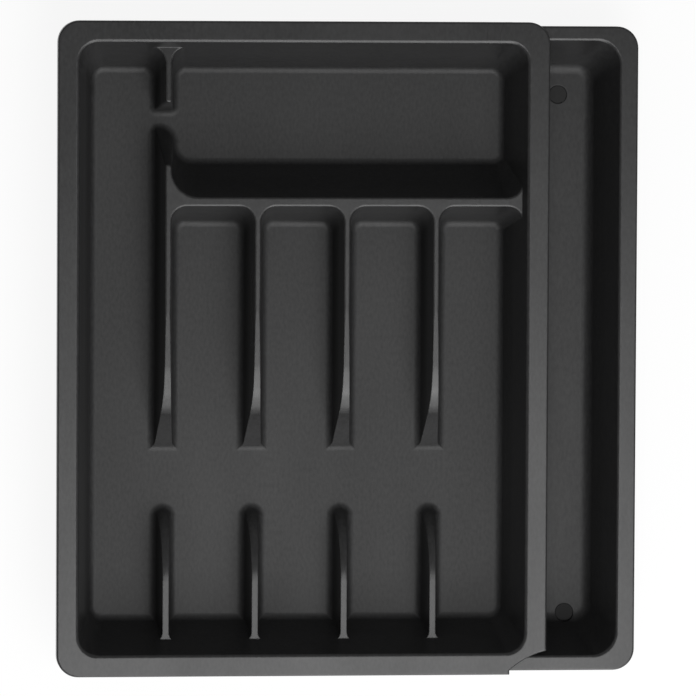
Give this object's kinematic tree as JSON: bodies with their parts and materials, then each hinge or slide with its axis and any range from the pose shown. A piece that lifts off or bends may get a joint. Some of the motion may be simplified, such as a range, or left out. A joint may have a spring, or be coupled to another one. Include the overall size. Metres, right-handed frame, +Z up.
{
  "type": "cutlery tray",
  "caption": "Expandable cutlery tray with columns, a wide back compartment and an extension tray that slides out from under it to the right.",
  "frame": {"origin": "on the table, under the middle of the tray as it stands with the extension a little way out", "axes": "+Z up; +Y to the back, along the columns; +X to the right, the way the extension slides out"},
  "size_m": [0.3486, 0.392, 0.05],
  "materials": {
    "tray_plastic": "black polypropylene or polystyrene, satin, with a fine moulded grain",
    "foot_rubber": "black rubber, matt"
  },
  "bodies": {
    "main": {"main_tray": "tray_plastic", "main_foot_back_left": "foot_rubber", "main_foot_front_left": "foot_rubber"},
    "extension": {"extension_tray": "tray_plastic", "extension_foot_back_right": "foot_rubber", "extension_foot_front_right": "foot_rubber", "extension_foot_back_left": "foot_rubber", "extension_foot_front_left": "foot_rubber"}
  },
  "joints": [
    {"name": "extension_slide", "type": "slide", "parent": "main", "child": "extension", "axis": [1, 0, 0], "range_m": [-0.051, 0.146]}
  ]
}
